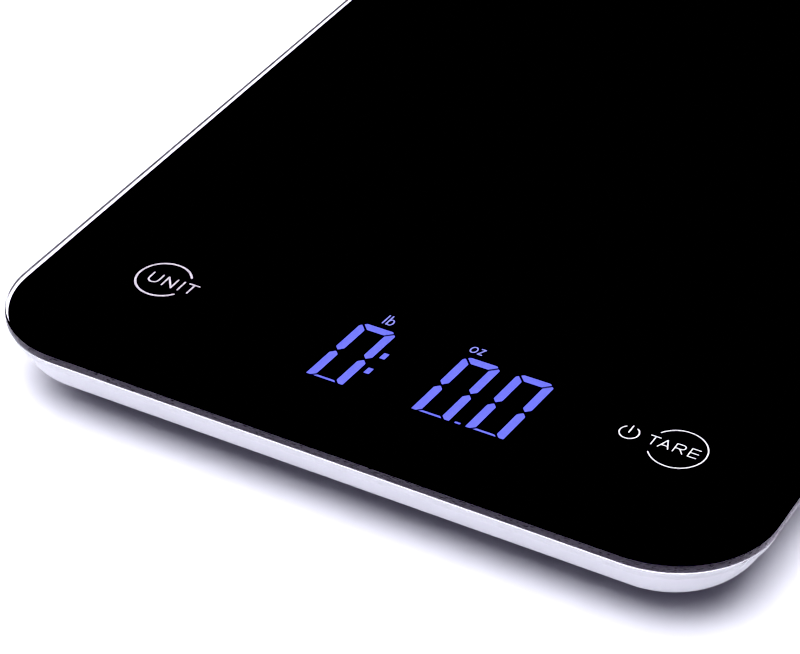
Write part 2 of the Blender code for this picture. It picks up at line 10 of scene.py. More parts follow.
import bmesh
import bpy
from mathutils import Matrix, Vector

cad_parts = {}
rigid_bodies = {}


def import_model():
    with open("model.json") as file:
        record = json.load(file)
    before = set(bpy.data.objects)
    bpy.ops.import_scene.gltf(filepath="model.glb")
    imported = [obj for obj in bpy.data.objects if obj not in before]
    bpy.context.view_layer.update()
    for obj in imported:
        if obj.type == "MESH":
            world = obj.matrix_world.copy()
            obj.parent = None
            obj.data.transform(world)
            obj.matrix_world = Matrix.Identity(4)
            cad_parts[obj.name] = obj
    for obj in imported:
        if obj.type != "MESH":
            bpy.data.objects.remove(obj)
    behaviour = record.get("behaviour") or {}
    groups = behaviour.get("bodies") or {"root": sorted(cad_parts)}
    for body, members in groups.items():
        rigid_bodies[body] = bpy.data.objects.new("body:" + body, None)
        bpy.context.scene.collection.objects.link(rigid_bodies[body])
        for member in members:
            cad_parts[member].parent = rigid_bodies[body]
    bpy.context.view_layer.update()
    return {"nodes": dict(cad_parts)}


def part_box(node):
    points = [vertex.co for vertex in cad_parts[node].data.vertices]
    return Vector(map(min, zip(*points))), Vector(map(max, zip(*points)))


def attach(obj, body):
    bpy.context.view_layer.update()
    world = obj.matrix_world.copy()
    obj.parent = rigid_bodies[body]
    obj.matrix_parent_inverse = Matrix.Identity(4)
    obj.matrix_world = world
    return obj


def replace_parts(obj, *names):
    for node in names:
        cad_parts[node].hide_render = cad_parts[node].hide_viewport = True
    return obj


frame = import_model()

MM = 0.001
ROOT = "scale_body"


# ---------------------------------------------------------------- places read from the frame
def node_box(node):
    """A node's corners in millimetres."""
    low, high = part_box(node)
    return low / MM, high / MM


GLASS_LOW, GLASS_HIGH = node_box("glass_platform")
SHELL_LOW, SHELL_HIGH = node_box("body_shell")
FILM_LOW = node_box("printed_film")[0]
LCD_HIGH = node_box("lcd_glass")[1]
DOOR_LOW, DOOR_HIGH = node_box("battery_door")
LABEL_LOW, LABEL_HIGH = node_box("rating_label")
COIN_LOW, COIN_HIGH = node_box("coin_cell")

HALF_X, HALF_Y = GLASS_HIGH.x, GLASS_HIGH.y
CORNER_R = 22.5
CORNER_STEPS = 28
FOOT_X, FOOT_Y = HALF_X - CORNER_R, HALF_Y - CORNER_R
CORNERS = {
    "front_left": (-1, -1),
    "front_right": (1, -1),
    "rear_left": (-1, 1),
    "rear_right": (1, 1),
}

# the layers under the glass
PRINT_INSET = 0.8
PRINT_TOP = GLASS_LOW.z - 0.07
PRINT_BOTTOM = FILM_LOW.z
INK_BOTTOM, INK_TOP = GLASS_LOW.z - 0.06, GLASS_LOW.z - 0.01
WINDOW_HALF_X = 33.0
WINDOW_FRONT, WINDOW_BACK = -93.6, -65.6

# the printed touch keys
KEY_RING_R = 6.05
UNIT_AT = (-60.5, -79.8)
TARE_AT = (60.2, -79.55)
STANDBY_AT = (49.5, -79.3)
BOLD_PEN, LETTER_PEN, FINE_PEN, THIN_PEN = 0.55, 0.45, 0.33, 0.28

# the readout
DIGIT_X, DIGIT_Y = -0.13, -82.75
DIGIT_PITCH = 12.3
DIGIT_W, DIGIT_H = 8.65, 22.45
SEGMENT_W, SEGMENT_GAP = 2.0, 0.42
SEGMENT_CHAMFER = 0.95
DOT_HALF_X, DOT_HALF_Y = 0.65, 1.05
MARK_Y, MARK_H, MARK_PEN = DIGIT_Y + 12.98, 1.95, 0.37
SLANT = math.tan(math.radians(3.5))
LIT_BOTTOM, LIT_TOP = LCD_HIGH.z + 0.02, LCD_HIGH.z + 0.06

# the tray
RIM_Z = SHELL_HIGH.z
UNDER_Z = SHELL_LOW.z
RIM_W = 0.95
RIM_TUCK = 0.42
SIDE_RUN, SIDE_END = 3.5, 9.2
UNDER_INSET = 12.0
INNER_KNEE = (7.2, 8.3)
FLOOR_INSET = 10.5
LEDGE_Z, LEDGE_W = 13.7, 7.0
TRAY_FLOOR = 6.0
FOOT_HOLE_R = 9.6

# screw bosses
BOSS_R, BOSS_HOLE_R, BOSS_BOTTOM, BOSS_HOLE_BOTTOM = 2.7, 1.35, 5.4, 6.35
CELL_BOSS_TOP, BOARD_BOSS_TOP = 8.65, 7.9

# coin cell bay and door
COIN_Y = (COIN_LOW.y + COIN_HIGH.y) / 2
BAY_LOW, BAY_HIGH = (-14.5, -9.0, TRAY_FLOOR - 0.5), (14.5, 20.5, 11.8)
OPENING_HALF_X, OPENING_FRONT, OPENING_BACK = 13.1, -6.0, 27.3
OPENING_TOP = TRAY_FLOOR + 0.01  # just above the floor, so the cut leaves no skin on it
POCKET_R, POCKET_TOP = 10.5, 10.5
SLOT_TOP = 13.0
DOOR_PLATE_TOP = 5.7
DOOR_PLATE_BACK = 26.0
DOOR_EDGE = 0.35
HOOK_X, HOOK_HALF_X = 8.0, 2.0
HOOK_TOP = 7.3
LATCH_HALF_X = 4.0
CUT_BOTTOM = 3.5  # below the door, so that a cut goes right through its underside

# label
LABEL_MIDDLE = (0, (LABEL_LOW.y + LABEL_HIGH.y) / 2)
LABEL_RECESS_TOP = 4.8


def mm(x, y, z):
    """A point given in millimetres, in metres."""
    return Vector((x, y, z)) * MM


# ---------------------------------------------------------------- camera
def make_camera():
    data = bpy.data.cameras.new("camera")
    data.sensor_width = 36.0
    data.lens = 126.4
    data.clip_end = 20.0
    camera = bpy.data.objects.new("camera", data)
    camera.location = mm(225.82, -487.46, 359.14)
    camera.rotation_euler = (math.radians(90 - 35.59), 0, math.radians(29.25))
    bpy.context.scene.collection.objects.link(camera)
    bpy.context.scene.camera = camera


make_camera()


# ---------------------------------------------------------------- material helpers
class Finish:
    """A Principled material, and short calls that add detail to it. Scales are per metre."""

    def __init__(self, name, colour, roughness, metallic=0.0, **sockets):
        self.material = bpy.data.materials.new(name)
        self.material.use_nodes = True
        tree = self.material.node_tree
        self.nodes, self.links = tree.nodes, tree.links
        self.shader = self.nodes["Principled BSDF"]
        self.set("Base Color", (*colour, 1.0))
        self.set("Roughness", roughness)
        self.set("Metallic", metallic)
        for socket, value in sockets.items():
            self.set(socket.replace("_", " "), value)
        self.place = self.nodes.new("ShaderNodeTexCoord").outputs["Object"]
        self.height = None

    def set(self, socket, value):
        self.shader.inputs[socket].default_value = value

    def stretched(self, scale):
        """Object coordinates, stretched by a scale for each axis."""
        mapping = self.nodes.new("ShaderNodeMapping")
        mapping.inputs["Scale"].default_value = scale
        self.links.new(self.place, mapping.inputs["Vector"])
        return mapping.outputs["Vector"]

    def noise(self, scale, detail=3.0, roughness=0.5, stretch=None):
        node = self.nodes.new("ShaderNodeTexNoise")
        node.inputs["Scale"].default_value = scale
        node.inputs["Detail"].default_value = detail
        node.inputs["Roughness"].default_value = roughness
        self.links.new(self.stretched(stretch) if stretch else self.place, node.inputs["Vector"])
        return node.outputs["Fac"]

    def cells(self, scale):
        node = self.nodes.new("ShaderNodeTexVoronoi")
        node.inputs["Scale"].default_value = scale
        self.links.new(self.place, node.inputs["Vector"])
        return node.outputs["Distance"]

    def waves(self, scale, direction="X", distortion=0.0):
        node = self.nodes.new("ShaderNodeTexWave")
        node.bands_direction = direction
        node.inputs["Scale"].default_value = scale
        node.inputs["Distortion"].default_value = distortion
        self.links.new(self.place, node.inputs["Vector"])
        return node.outputs["Fac"]

    def ranged(self, value, low, high, start=0.3, end=0.7):
        """The value, moved from start...end to low...high."""
        node = self.nodes.new("ShaderNodeMapRange")
        node.inputs["From Min"].default_value = start
        node.inputs["From Max"].default_value = end
        node.inputs["To Min"].default_value = low
        node.inputs["To Max"].default_value = high
        self.links.new(value, node.inputs["Value"])
        return node.outputs["Result"]

    def maths(self, operation, first, second):
        node = self.nodes.new("ShaderNodeMath")
        node.operation = operation
        for socket, value in zip(node.inputs, (first, second)):
            if isinstance(value, (int, float)):
                socket.default_value = value
            else:
                self.links.new(value, socket)
        return node.outputs["Value"]

    def vary_roughness(self, value, low, high):
        self.links.new(self.ranged(value, low, high), self.shader.inputs["Roughness"])
        return self

    def blend_colour(self, amount, other, socket="Base Color"):
        """Mixes the colour so far with another one by the amount."""
        node = self.nodes.new("ShaderNodeMix")
        node.data_type = "RGBA"
        target = self.shader.inputs[socket]
        colours = [i for i in node.inputs if i.type == "RGBA"]
        first, second = colours[0], colours[1]
        if target.is_linked:
            self.links.new(target.links[0].from_socket, first)
        else:
            first.default_value = target.default_value
        second.default_value = (*other, 1.0)
        factor = [i for i in node.inputs if i.name == "Factor" and i.type == "VALUE"][0]
        self.links.new(amount, factor)
        result = [o for o in node.outputs if o.type == "RGBA"][0]
        self.links.new(result, target)
        return self

    def relief(self, value, depth_mm, strength=1.0):
        """Adds a bump of the given depth."""
        node = self.nodes.new("ShaderNodeBump")
        node.inputs["Distance"].default_value = depth_mm * MM
        node.inputs["Strength"].default_value = strength
        self.links.new(value, node.inputs["Height"])
        if self.height:
            self.links.new(self.height, node.inputs["Normal"])
        self.height = node.outputs["Normal"]
        self.links.new(self.height, self.shader.inputs["Normal"])
        return self


# ---------------------------------------------------------------- materials
def clear_glass():
    made = Finish(
        "clear_glass", (1.0, 1.0, 1.0), 0.0, Transmission_Weight=1.0, IOR=1.52
    )
    made.vary_roughness(made.noise(60, 4), 0.0, 0.012)
    return made.relief(made.noise(28, 1), 0.02, 0.15).material


def ground_edge():
    """The ground and polished edge of the plate: glass with a fine frost in it."""
    made = Finish(
        "ground_edge", (0.62, 0.56, 0.70), 0.3, Transmission_Weight=0.95, IOR=1.52
    )
    made.vary_roughness(made.noise(700, 3, 0.5, (1.0, 1.0, 6.0)), 0.24, 0.38)
    return made.relief(made.noise(9000, 2), 0.001, 0.2).material


def black_print():
    made = Finish("black_print", (0.0005, 0.0005, 0.0006), 0.5, Specular_IOR_Level=0.0)
    made.blend_colour(made.ranged(made.noise(900), 0.0, 1.0), (0.0009, 0.0008, 0.0010))
    made.vary_roughness(made.noise(500), 0.45, 0.6)
    return made.relief(made.noise(4000, 2), 0.004, 0.3).material


# Ink for the printed key legends. Each copy's colour is set to how bright the one white ink looks
# where it lies, so the copies carry painted light and painted shade.
def legend_ink_painted_lighting(name, colour):
    made = Finish(name, colour, 0.5)
    made.blend_colour(made.ranged(made.noise(3000), 0.0, 0.35), tuple(0.9 * c for c in colour))
    return made.relief(made.noise(6000, 2), 0.004, 0.4).material


def lit_segments(name, colour, edge):
    made = Finish(name, (0.01, 0.01, 0.02), 0.4)
    made.set("Emission Color", (*colour, 1.0))
    made.set("Emission Strength", 1.05)
    made.blend_colour(made.ranged(made.noise(260, 2), 0.0, 0.5), edge, "Emission Color")
    return made.relief(made.noise(5000, 2), 0.003, 0.3).material


def lcd_surface():
    made = Finish("lcd_surface", (0.0005, 0.0005, 0.0009), 0.2, Specular_IOR_Level=0.0)
    made.blend_colour(made.ranged(made.noise(300), 0.0, 1.0), (0.0006, 0.0006, 0.0014))
    made.vary_roughness(made.noise(700), 0.16, 0.3)
    return made.relief(made.noise(2500, 2), 0.003, 0.2).material


def moulded(name, colour, shade, roughness, grain=2600, depth=0.012):
    """Satin moulded plastic with a fine spark-eroded grain and faint flow marks."""
    made = Finish(name, colour, roughness)
    made.blend_colour(made.ranged(made.noise(14, 4), 0.0, 0.6), shade)
    made.vary_roughness(made.noise(90, 5), roughness - 0.05, roughness + 0.08)
    made.relief(made.noise(grain, 3, 0.6), depth, 0.35)
    return made.relief(made.noise(35, 2), 0.03, 0.1).material


def foot_rubber():
    made = Finish("foot_rubber", (0.030, 0.030, 0.033), 0.82)
    made.blend_colour(made.ranged(made.noise(220, 5), 0.0, 0.7), (0.075, 0.073, 0.072))
    made.vary_roughness(made.noise(300, 4), 0.72, 0.95)
    return made.relief(made.noise(1800, 4, 0.65), 0.05, 0.5).material


def circuit_board():
    made = Finish("circuit_board", (0.010, 0.110, 0.045), 0.32, Coat_Weight=0.3)
    tracks = made.maths("GREATER_THAN", made.waves(260, "X", 6.0), 0.72)
    made.blend_colour(tracks, (0.030, 0.210, 0.085))
    lanes = made.maths("GREATER_THAN", made.waves(180, "Y", 9.0), 0.86)
    made.blend_colour(lanes, (0.035, 0.230, 0.095))
    made.vary_roughness(made.noise(800), 0.26, 0.42)
    return made.relief(tracks, 0.03, 0.6).material


def potting():
    made = Finish("potting", (0.010, 0.010, 0.012), 0.3)
    made.vary_roughness(made.noise(400), 0.22, 0.5)
    return made.relief(made.noise(250, 2), 0.15, 0.5).material


def light_guide():
    made = Finish("light_guide", (0.62, 0.68, 1.0), 0.35, Subsurface_Weight=0.3)
    made.set("Subsurface Radius", (0.002, 0.002, 0.003))
    made.set("Emission Color", (0.30, 0.36, 1.0, 1.0))
    made.set("Emission Strength", 0.6)
    dots = made.cells(900)
    made.blend_colour(made.ranged(dots, 0.0, 0.5, 0.1, 0.5), (0.85, 0.88, 1.0))
    return made.relief(dots, 0.03, 0.4).material


def striped_elastomer():
    made = Finish("striped_elastomer", (0.30, 0.30, 0.32), 0.7)
    stripes = made.maths("GREATER_THAN", made.waves(320, "X"), 0.5)
    made.blend_colour(stripes, (0.02, 0.02, 0.022))
    return made.relief(made.noise(1500), 0.03, 0.4).material


def steel(name, colour, roughness, stretch):
    made = Finish(name, colour, roughness, 1.0)
    brushed = made.noise(500, 4, 0.6, stretch)
    made.vary_roughness(brushed, roughness - 0.08, roughness + 0.14)
    made.blend_colour(made.ranged(made.noise(60, 4), 0.0, 0.4), tuple(0.7 * c for c in colour))
    return made.relief(brushed, 0.01, 0.3).material


def silicone():
    made = Finish("silicone", (0.70, 0.70, 0.68), 0.42, Subsurface_Weight=0.2)
    made.set("Subsurface Radius", (0.001, 0.001, 0.001))
    made.blend_colour(made.ranged(made.noise(400, 3), 0.0, 0.5), (0.55, 0.55, 0.52))
    return made.relief(made.noise(500, 3), 0.12, 0.6).material


def lead_sleeve(name, colour):
    made = Finish(name, colour, 0.45)
    made.blend_colour(made.ranged(made.noise(300, 4), 0.0, 0.4), tuple(0.7 * c for c in colour))
    made.vary_roughness(made.noise(700), 0.36, 0.6)
    return made.relief(made.noise(1400, 3), 0.02, 0.4).material


def foam_tape():
    made = Finish("foam_tape", (0.035, 0.035, 0.038), 0.9)
    pores = made.cells(2600)
    made.blend_colour(made.ranged(pores, 0.7, 0.0, 0.05, 0.5), (0.012, 0.012, 0.013))
    return made.relief(pores, 0.08, 0.7).material


def label_foil():
    made = Finish("label_foil", (0.52, 0.52, 0.54), 0.4, 0.55)
    brushed = made.noise(300, 3, 0.5, (1.0, 30.0, 1.0))
    made.vary_roughness(brushed, 0.34, 0.52)
    made.blend_colour(made.ranged(brushed, 0.0, 0.5), (0.42, 0.42, 0.44))
    return made.relief(made.noise(120, 3), 0.02, 0.2).material


def label_ink():
    made = Finish("label_ink", (0.03, 0.03, 0.035), 0.5)
    made.vary_roughness(made.noise(900), 0.42, 0.6)
    return made.relief(made.noise(5000, 2), 0.004, 0.3).material


def floor_paper():
    made = Finish("floor_paper", (0.90, 0.90, 0.92), 0.7)
    made.vary_roughness(made.noise(40, 4), 0.62, 0.78)
    return made.relief(made.noise(700, 4), 0.02, 0.15).material


WHITE = (0.84, 0.84, 0.875)
WHITE_SHADE = (0.81, 0.81, 0.85)
FINISH = {
    "clear_glass": clear_glass(),
    "ground_edge": ground_edge(),
    "black_print": black_print(),
    # painted shade: the unit key's legend is the same white ink, made darker and pinker where less
    # light falls
    "legend_painted_shade": legend_ink_painted_lighting("legend_ink_painted_lighting", (0.35, 0.325, 0.35)),
    # painted light: the tare key's and standby legends are the same white ink, made brighter where
    # more light falls
    "legend_painted_light": legend_ink_painted_lighting("legend_ink_painted_light", (0.48, 0.48, 0.48)),
    "segments": lit_segments("lit_segments", (0.275, 0.30, 1.0), (0.30, 0.325, 1.0)),
    "unit_marks": lit_segments("unit_marks", (0.44, 0.46, 0.98), (0.50, 0.52, 1.0)),
    "readout": lcd_surface(),
    "white_shell": moulded("white_shell", WHITE, WHITE_SHADE, 0.38),
    "door_plastic": moulded("door_plastic", (0.76, 0.76, 0.80), WHITE_SHADE, 0.42),
    "foot_plastic": moulded("foot_plastic", (0.60, 0.60, 0.63), (0.55, 0.55, 0.58), 0.5),
    "foot_rubber": foot_rubber(),
    "circuit_board": circuit_board(),
    "epoxy": potting(),
    "light_guide": light_guide(),
    "elastomer": striped_elastomer(),
    "stamped_steel": steel("stamped_steel", (0.50, 0.51, 0.52), 0.34, (1.0, 12.0, 1.0)),
    "bright_steel": steel("bright_steel", (0.70, 0.70, 0.68), 0.2, (1.0, 6.0, 1.0)),
    "silicone": silicone(),
    "foam_tape": foam_tape(),
    "lead_white": lead_sleeve("lead_white", (0.70, 0.70, 0.67)),
    "lead_red": lead_sleeve("lead_red", (0.45, 0.015, 0.015)),
    "lead_black": lead_sleeve("lead_black", (0.012, 0.012, 0.013)),
    "label": label_foil(),
    "label_ink": label_ink(),
}


# ---------------------------------------------------------------- mesh helpers (mm)
def mesh_of(name, shape):
    """The mesh of a bmesh, with its faces turned outwards."""
    mesh = bpy.data.meshes.new(name)
    bmesh.ops.recalc_face_normals(shape, faces=shape.faces[:])
    shape.to_mesh(mesh)
    shape.free()
    return mesh


def surfaced(mesh, surface, sharp):
    """The mesh with its material, shaded smooth with its real edges kept sharp."""
    mesh.materials.append(FINISH[surface])
    mesh.shade_smooth()
    mesh.set_sharp_from_angle(angle=math.radians(sharp))
    return mesh


def finished_mesh(name, shape, surface, sharp=32):
    return surfaced(mesh_of(name, shape), surface, sharp)


def show(name, mesh, body):
    """A piece of the scale: the mesh, riding on a body."""
    made = bpy.data.objects.new(name, mesh)
    bpy.context.scene.collection.objects.link(made)
    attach(made, body)
    return made


def rounded_rectangle(half_x, half_y, radius, steps=CORNER_STEPS, centre=(0, 0)):
    points = []
    for corner, (side_x, side_y) in enumerate(((1, 1), (-1, 1), (-1, -1), (1, -1))):
        for step in range(steps + 1):
            angle = math.pi / 2 * (corner + step / steps)
            x = centre[0] + side_x * (half_x - radius) + radius * math.cos(angle)
            y = centre[1] + side_y * (half_y - radius) + radius * math.sin(angle)
            points.append((x, y))
    return points


def glass_outline(inset, steps=CORNER_STEPS):
    """The outline of the glass, moved in by the inset."""
    return rounded_rectangle(HALF_X - inset, HALF_Y - inset, CORNER_R - inset, steps)


def loft(shape, rings):
    """A closed skin through rings of points, with a flat face on each end ring."""
    loops = [[shape.verts.new(mm(*point)) for point in ring] for ring in rings]
    for lower, upper in zip(loops, loops[1:]):
        for index in range(len(lower)):
            after = (index + 1) % len(lower)
            shape.faces.new((lower[index], lower[after], upper[after], upper[index]))
    shape.faces.new(loops[0][::-1])
    shape.faces.new(loops[-1])


def slab(shape, outlines, bottom, top):
    """A flat plate: the first outline is its edge and the others are its holes."""
    edges = []
    for outline in outlines:
        verts = [shape.verts.new(mm(x, y, bottom)) for x, y in outline]
        edges += [shape.edges.new(ends) for ends in zip(verts, verts[1:] + verts[:1])]
    filled = bmesh.ops.triangle_fill(shape, use_beauty=True, edges=edges)
    faces = [part for part in filled["geom"] if isinstance(part, bmesh.types.BMFace)]
    grown = bmesh.ops.extrude_face_region(shape, geom=faces)
    raised = [part for part in grown["geom"] if isinstance(part, bmesh.types.BMVert)]
    bmesh.ops.translate(shape, vec=mm(0, 0, top - bottom), verts=raised)


def prism(shape, outline, bottom, top):
    loft(shape, [[(x, y, z) for x, y in outline] for z in (bottom, top)])


def turned(shape, centre, profile, steps=72):
    """A turned solid: the profile (radius, height) runs from the axis to the axis."""
    x0, y0 = centre
    rings = []
    for radius, height in profile:
        if radius == 0:
            rings.append([shape.verts.new(mm(x0, y0, height))])
            continue
        turns = [2 * math.pi * step / steps for step in range(steps)]
        rings.append(
            [
                shape.verts.new(mm(x0 + radius * math.cos(a), y0 + radius * math.sin(a), height))
                for a in turns
            ]
        )
    for one, two in zip(rings, rings[1:]):
        for step in range(steps):
            after = (step + 1) % steps
            corners = [one[step % len(one)], one[after % len(one)]]
            corners += [two[after % len(two)], two[step % len(two)]]
            shape.faces.new(list(dict.fromkeys(corners)))


def turn_points(start, corner, end, steps):
    """Points on the curve from start to end that is pulled towards the corner."""
    for step in range(steps + 1):
        t = step / steps
        yield tuple((1 - t) ** 2 * start + 2 * t * (1 - t) * corner + t**2 * end)


def rounded_profile(points, radius, steps=4):
    """The profile with every turn rounded, apart from its two ends on the axis."""
    path = [Vector(point) for point in points]
    made = [tuple(path[0])]
    for before, corner, after in zip(path, path[1:], path[2:]):
        reach = min(radius, (before - corner).length / 2, (after - corner).length / 2)
        start = corner + (before - corner).normalized() * reach
        end = corner + (after - corner).normalized() * reach
        made += turn_points(start, corner, end, steps)
    return [*made, tuple(path[-1])]


def helper(name, shape, collection):
    """An object that only takes part in carving."""
    made = bpy.data.objects.new(name, mesh_of(name, shape))
    collection.objects.link(made)
    return made


def carved(name, base, additions, cuts, surface, sharp=32):
    """The base with the additions joined to it and then the cuts taken out of it."""
    bench = bpy.data.collections.new(f"{name}_bench")
    added = bpy.data.collections.new(f"{name}_added")
    taken = bpy.data.collections.new(f"{name}_taken")
    bpy.context.scene.collection.children.link(bench)
    bench.children.link(added)
    bench.children.link(taken)
    body = helper(name, base, bench)
    for index, shape in enumerate(additions):
        helper(f"{name}_added_{index}", shape, added)
    for index, shape in enumerate(cuts):
        helper(f"{name}_taken_{index}", shape, taken)
    for group, operation in ((added, "UNION"), (taken, "DIFFERENCE")):
        if group.objects:
            change = body.modifiers.new(operation.lower(), "BOOLEAN")
            change.operation = operation
            change.operand_type = "COLLECTION"
            change.collection = group
            change.solver = "EXACT"
            change.use_self = operation == "UNION"
    evaluated = body.evaluated_get(bpy.context.evaluated_depsgraph_get())
    mesh = bpy.data.meshes.new_from_object(evaluated)
    for old in [body, *added.objects, *taken.objects]:
        bpy.data.objects.remove(old, do_unlink=True)
    for group in (added, taken, bench):
        bpy.data.collections.remove(group)
    mesh.name = name
    mesh.materials.clear()
    return surfaced(mesh, surface, sharp)


def new_prism(outline, bottom, top):
    shape = bmesh.new()
    prism(shape, outline, bottom, top)
    return shape


def new_turned(centre, profile, steps=72):
    shape = bmesh.new()
    turned(shape, centre, profile, steps)
    return shape


def rectangle(low_x, low_y, high_x, high_y):
    return [(low_x, low_y), (high_x, low_y), (high_x, high_y), (low_x, high_y)]


def new_box(low, high):
    return new_prism(rectangle(low[0], low[1], high[0], high[1]), low[2], high[2])


# ---------------------------------------------------------------- glass and its black print
def make_glass():
    """The toughened plate, with a ground and polished round on both of its edges."""
    edge, steps = 0.4, 6
    low, high = GLASS_LOW.z, GLASS_HIGH.z
    sections = []
    for step in range(steps + 1):
        turn = math.pi / 2 * step / steps
        sections.append((edge * (1 - math.sin(turn)), low + edge * (1 - math.cos(turn))))
    sections += [(inset, high - (height - low)) for inset, height in reversed(sections)]
    shape = bmesh.new()
    loft(shape, [[(x, y, z) for x, y in glass_outline(inset)] for inset, z in sections])
    mesh = finished_mesh("glass_plate", shape, "clear_glass", 50)
    mesh.materials.append(FINISH["ground_edge"])
    for face in mesh.polygons:
        if abs(face.normal.z) < 0.6:
            face.material_index = 1
    made = show("glass_plate", mesh, ROOT)
    made.visible_shadow = False
    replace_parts(made, "glass_platform")


def make_print():
    """The black print on the underside of the glass, open over the readout."""
    middle = (WINDOW_FRONT + WINDOW_BACK) / 2
    window = rounded_rectangle(
        WINDOW_HALF_X, (WINDOW_BACK - WINDOW_FRONT) / 2, 1.0, 6, (0, middle)
    )
    shape = bmesh.new()
    slab(shape, [glass_outline(PRINT_INSET), window], PRINT_BOTTOM + 0.25, PRINT_TOP)
    mesh = finished_mesh("black_print", shape, "black_print")
    made = show("black_print", mesh, ROOT)
    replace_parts(made, "printed_film")


# ---------------------------------------------------------------- strokes and letters
def stroke(points, width, cap_steps=6):
    """The outline of a pen stroke along the points, with round ends."""
    path = [Vector(point) for point in points]
    half = width / 2
    sides = []
    for index, point in enumerate(path):
        run = path[min(index + 1, len(path) - 1)] - path[max(index - 1, 0)]
        run.normalize()
        sides.append(Vector((-run.y, run.x)) * half)
    outline = [tuple(point - side) for point, side in zip(path, sides)]
    for centre, side in ((path[-1], -sides[-1]), (path[0], sides[0])):
        for step in range(1, cap_steps):
            turn = math.pi * step / cap_steps
            spun = Vector(
                (
                    side.x * math.cos(turn) - side.y * math.sin(turn),
                    side.x * math.sin(turn) + side.y * math.cos(turn),
                )
            )
            outline.append(tuple(centre + spun))
        if centre is path[-1]:
            outline += [tuple(point + s) for point, s in zip(path[::-1], sides[::-1])]
    return outline


def arc(centre, radius, start, end, steps=24):
    """Points on a circle, from a start angle to an end angle in degrees."""
    turns = [math.radians(start + (end - start) * step / steps) for step in range(steps + 1)]
    return [
        (centre[0] + radius * math.cos(turn), centre[1] + radius * math.sin(turn)) for turn in turns
    ]


ASCENDER = 1.62  # the height of l and b, in heights of o


def letter(kind, width):
    """The pen strokes of a plain letter, one unit high."""
    half = width / 2
    bowl = 0.26
    if kind == "U":
        round_part = arc((half, half), half, 180, 360, 12)
        return [[(0, 1), *round_part, (width, 1)]]
    if kind == "N":
        return [[(0, 0), (0, 1)], [(0, 1), (width, 0)], [(width, 0), (width, 1)]]
    if kind == "I":
        return [[(0, 0), (0, 1)]]
    if kind == "T":
        return [[(0, 1), (width, 1)], [(half, 1), (half, 0)]]
    if kind == "A":
        bar = [(0.2 * width, 0.32), (0.8 * width, 0.32)]
        return [[(0, 0), (half, 1)], [(half, 1), (width, 0)], bar]
    if kind == "R":
        round_part = arc((width - bowl, 1 - bowl), bowl, 90, -90, 12)
        loop = [(0, 1), *round_part, (0, 1 - 2 * bowl)]
        return [[(0, 0), (0, 1)], loop, [(half, 1 - 2 * bowl), (width, 0)]]
    if kind == "E":
        bars = [[(0, height), (width, height)] for height in (0, 0.5, 1)]
        return [[(0, 0), (0, 1)], *bars]
    if kind == "l":
        return [[(0, 0), (0, ASCENDER)]]
    # an oval is two overlapping arcs, so that neither stroke crosses itself
    turns = (arc((0, 0), 1, 0, 190, 14), arc((0, 0), 1, 180, 370, 14))
    oval = [[(half + half * x, 0.5 + 0.5 * y) for x, y in turn] for turn in turns]
    if kind == "b":
        return [[(0, 0), (0, ASCENDER)], *oval]
    if kind == "o":
        return oval
    return [[(0, 1), (width, 1)], [(width, 1), (0, 0)], [(0, 0), (width, 0)]]


def word(letters, start, height, slant=0.0):
    """Pen strokes of letters given as (kind, x, width), in millimetres from the start."""
    strokes = []
    for kind, x, width in letters:
        for points in letter(kind, width / height):
            strokes.append(
                [(start[0] + x + height * (u + slant * v), start[1] + height * v) for u, v in points]
            )
    return strokes


def drawn(name, strokes, width, bottom, top, surface):
    """Thin solid strokes, joined where they meet."""
    shapes = [new_prism(stroke(points, width), bottom, top) for points in strokes]
    mesh = carved(name, shapes[0], shapes[1:], [], surface)
    return show(name, mesh, ROOT)


def make_legends():
    """The two touch keys' rings and words, and the standby symbol."""
    (unit_x, unit_y), (tare_x, tare_y), (standby_x, standby_y) = UNIT_AT, TARE_AT, STANDBY_AT
    unit_word = word(
        [("U", 0, 2.4), ("N", 3.8, 2.3), ("I", 7.8, 0), ("T", 9.0, 2.45)],
        (unit_x - 3.15, unit_y - 1.85),
        3.25,
    )
    tare_word = word(
        [("T", 0, 2.07), ("A", 2.51, 2.19), ("R", 5.71, 2.05), ("E", 8.96, 1.81)],
        (tare_x - 6.43, tare_y - 1.1),
        2.72,
    )
    bar = [(standby_x - 0.08, standby_y - 0.08), (standby_x - 0.08, standby_y + 2.29)]
    legends = (
        # the unit key's ring and word take the painted-shade copy of the ink, the tare key and
        # standby symbol the painted-light copy
        ("unit_key_ring", [arc(UNIT_AT, KEY_RING_R, 34, 324, 72)], BOLD_PEN, "legend_painted_shade"),
        ("unit_key_word", unit_word, LETTER_PEN, "legend_painted_shade"),
        ("tare_key_ring", [arc(TARE_AT, KEY_RING_R, -144, 147, 72)], FINE_PEN, "legend_painted_light"),
        ("tare_key_word", tare_word, THIN_PEN, "legend_painted_light"),
        ("standby_ring", [arc(STANDBY_AT, 2.04, 129, 418, 40)], FINE_PEN, "legend_painted_light"),
        ("standby_bar", [bar], FINE_PEN, "legend_painted_light"),
    )
    for name, strokes, pen, surface in legends:
        drawn(name, strokes, pen, INK_BOTTOM, INK_TOP, surface)


